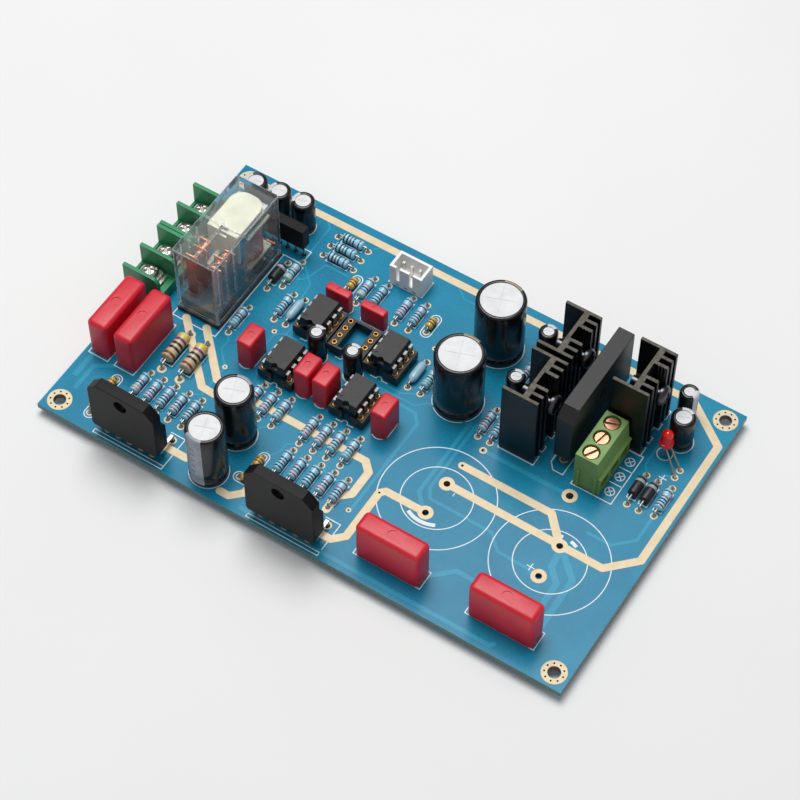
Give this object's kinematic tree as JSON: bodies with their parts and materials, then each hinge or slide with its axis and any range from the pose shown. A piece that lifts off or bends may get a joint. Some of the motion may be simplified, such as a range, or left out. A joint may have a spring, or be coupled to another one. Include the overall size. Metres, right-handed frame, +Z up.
{
  "type": "audio amplifier board",
  "caption": "Stereo audio power amplifier circuit board with screw terminals, protection relay, chip sockets, rectifier and heatsinks.",
  "frame": {"origin": "centre of the four corner holes, on the board's underside", "axes": "+X along the long side towards the supply end, +Y towards the edge with the input header, +Z up from the parts' side"},
  "size_m": [0.1545, 0.0926, 0.0286],
  "materials": {
    "board_blue": "blue solder mask on glass fibre",
    "tinned": "tinned bare copper",
    "green_plastic": "moulded green",
    "olive_plastic": "moulded olive green",
    "nickel": "nickel plated",
    "black_plastic": "moulded black",
    "clear_plastic": "clear moulded cover",
    "cream_plastic": "moulded cream",
    "copper": "copper",
    "iron": "plated iron",
    "lead_tin": "tinned wire",
    "gold": "gold plated",
    "sleeve_black": "shrunk printed sleeve",
    "can_aluminium": "bare can top",
    "red_plastic": "moulded red",
    "black_anodised": "black anodised",
    "white_plastic": "moulded white",
    "red_lens": "tinted lens",
    "resistor_blue": "lacquer with colour bands",
    "resistor_tan": "lacquer with colour bands",
    "pale_blue": "lacquer",
    "amber": "dipped amber",
    "screw_copper": "copper plated"
  },
  "bodies": {
    "board": {"circuit_board": "board_blue", "bare_copper": "tinned", "speaker_terminal_bodies": "green_plastic", "speaker_terminal_lugs": "nickel", "relay_base": "black_plastic", "relay_cover": "clear_plastic", "relay_bobbin": "cream_plastic", "relay_coil": "copper", "relay_yoke": "iron", "relay_terminals": "copper", "power_chip_left": "black_plastic", "power_chip_right": "black_plastic", "power_chip_leads": "lead_tin", "op_amps": "black_plastic", "op_amp_pins": "lead_tin", "ic_sockets": "black_plastic", "socket_contacts": "gold", "filter_capacitor_sleeves": "sleeve_black", "rail_capacitor_sleeves": "sleeve_black", "small_capacitor_sleeves": "sleeve_black", "capacitor_cans": "can_aluminium", "output_film_capacitors": "red_plastic", "supply_film_capacitors": "red_plastic", "signal_film_capacitors": "red_plastic", "heatsink_1": "black_anodised", "heatsink_2": "black_anodised", "heatsink_3": "black_anodised", "regulators": "black_plastic", "regulator_tabs": "lead_tin", "heatsink_screws": "iron", "bridge_rectifier": "black_plastic", "power_terminal_body": "olive_plastic", "power_terminal_pins": "lead_tin", "input_header": "white_plastic", "header_pins": "lead_tin", "status_light": "red_lens", "protection_chip": "black_plastic", "film_resistors": "resistor_blue", "output_resistors": "resistor_tan", "diodes": "black_plastic", "axial_capacitors": "pale_blue", "bead_capacitors": "amber", "component_leads": "lead_tin"},
    "speaker_clamp_1": {"speaker_clamp_1": "nickel"},
    "speaker_screw_1": {"speaker_screw_1": "nickel"},
    "speaker_clamp_2": {"speaker_clamp_2": "nickel"},
    "speaker_screw_2": {"speaker_screw_2": "nickel"},
    "speaker_clamp_3": {"speaker_clamp_3": "nickel"},
    "speaker_screw_3": {"speaker_screw_3": "nickel"},
    "speaker_clamp_4": {"speaker_clamp_4": "nickel"},
    "speaker_screw_4": {"speaker_screw_4": "nickel"},
    "power_cage_1": {"power_cage_1": "lead_tin"},
    "power_screw_1": {"power_screw_1": "screw_copper"},
    "power_cage_2": {"power_cage_2": "lead_tin"},
    "power_screw_2": {"power_screw_2": "screw_copper"},
    "power_cage_3": {"power_cage_3": "lead_tin"},
    "power_screw_3": {"power_screw_3": "screw_copper"},
    "relay_armature": {"relay_armature": "iron", "relay_pusher": "cream_plastic"},
    "relay_contact_springs": {"relay_contact_springs": "copper"}
  },
  "joints": [
    {"name": "speaker_clamp_1_lift", "type": "slide", "parent": "board", "child": "speaker_clamp_1", "axis": [0, 0, 1], "range_m": [0, 0.002]},
    {"name": "speaker_screw_1_turn", "type": "hinge", "parent": "speaker_clamp_1", "child": "speaker_screw_1", "pos_m": [-0.0735, -0.0009, 0.0076], "axis": [0, 0, 1], "range_deg": [0, 1441]},
    {"name": "speaker_clamp_2_lift", "type": "slide", "parent": "board", "child": "speaker_clamp_2", "axis": [0, 0, 1], "range_m": [0, 0.002]},
    {"name": "speaker_screw_2_turn", "type": "hinge", "parent": "speaker_clamp_2", "child": "speaker_screw_2", "pos_m": [-0.0735, 0.0066, 0.0076], "axis": [0, 0, 1], "range_deg": [0, 1441]},
    {"name": "speaker_clamp_3_lift", "type": "slide", "parent": "board", "child": "speaker_clamp_3", "axis": [0, 0, 1], "range_m": [0, 0.002]},
    {"name": "speaker_screw_3_turn", "type": "hinge", "parent": "speaker_clamp_3", "child": "speaker_screw_3", "pos_m": [-0.0735, 0.01535, 0.0076], "axis": [0, 0, 1], "range_deg": [0, 1441]},
    {"name": "speaker_clamp_4_lift", "type": "slide", "parent": "board", "child": "speaker_clamp_4", "axis": [0, 0, 1], "range_m": [0, 0.002]},
    {"name": "speaker_screw_4_turn", "type": "hinge", "parent": "speaker_clamp_4", "child": "speaker_screw_4", "pos_m": [-0.0735, 0.02285, 0.0076], "axis": [0, 0, 1], "range_deg": [0, 1441]},
    {"name": "power_screw_1_turn", "type": "hinge", "parent": "board", "child": "power_screw_1", "pos_m": [0.0519, 0.00837, 0.0126], "axis": [0, 0, 1], "range_deg": [-1981, 0]},
    {"name": "power_cage_1_lift", "type": "slide", "parent": "board", "child": "power_cage_1", "axis": [0, 0, 1], "range_m": [0, 0.00275]},
    {"name": "power_screw_2_turn", "type": "hinge", "parent": "board", "child": "power_screw_2", "pos_m": [0.0519, 0.01345, 0.0126], "axis": [0, 0, 1], "range_deg": [-1981, 0]},
    {"name": "power_cage_2_lift", "type": "slide", "parent": "board", "child": "power_cage_2", "axis": [0, 0, 1], "range_m": [0, 0.00275]},
    {"name": "power_screw_3_turn", "type": "hinge", "parent": "board", "child": "power_screw_3", "pos_m": [0.0519, 0.01853, 0.0126], "axis": [0, 0, 1], "range_deg": [-1981, 0]},
    {"name": "power_cage_3_lift", "type": "slide", "parent": "board", "child": "power_cage_3", "axis": [0, 0, 1], "range_m": [0, 0.00275]},
    {"name": "relay_armature_tip", "type": "hinge", "parent": "board", "child": "relay_armature", "pos_m": [-0.0571, 0.01175, 0.022], "axis": [-1, 0, 0], "range_deg": [0, 4], "stiffness_Nm_per_rad": 0.02, "springref_deg": -3.44},
    {"name": "relay_contacts_flex", "type": "hinge", "parent": "board", "child": "relay_contact_springs", "pos_m": [-0.0571, 0.00425, 0.0069], "axis": [1, 0, 0], "range_deg": [0, 3.51]}
  ],
  "couplings": [
    {"joint": "speaker_screw_1_turn", "follows": "speaker_clamp_1_lift", "rad_per_m": 12566},
    {"joint": "speaker_screw_2_turn", "follows": "speaker_clamp_2_lift", "rad_per_m": 12566},
    {"joint": "speaker_screw_3_turn", "follows": "speaker_clamp_3_lift", "rad_per_m": 12566},
    {"joint": "speaker_screw_4_turn", "follows": "speaker_clamp_4_lift", "rad_per_m": 12566},
    {"joint": "power_screw_1_turn", "follows": "power_cage_1_lift", "rad_per_m": -12566},
    {"joint": "power_screw_2_turn", "follows": "power_cage_2_lift", "rad_per_m": -12566},
    {"joint": "power_screw_3_turn", "follows": "power_cage_3_lift", "rad_per_m": -12566},
    {"joint": "relay_contacts_flex", "follows": "relay_armature_tip", "ratio": 0.875}
  ]
}
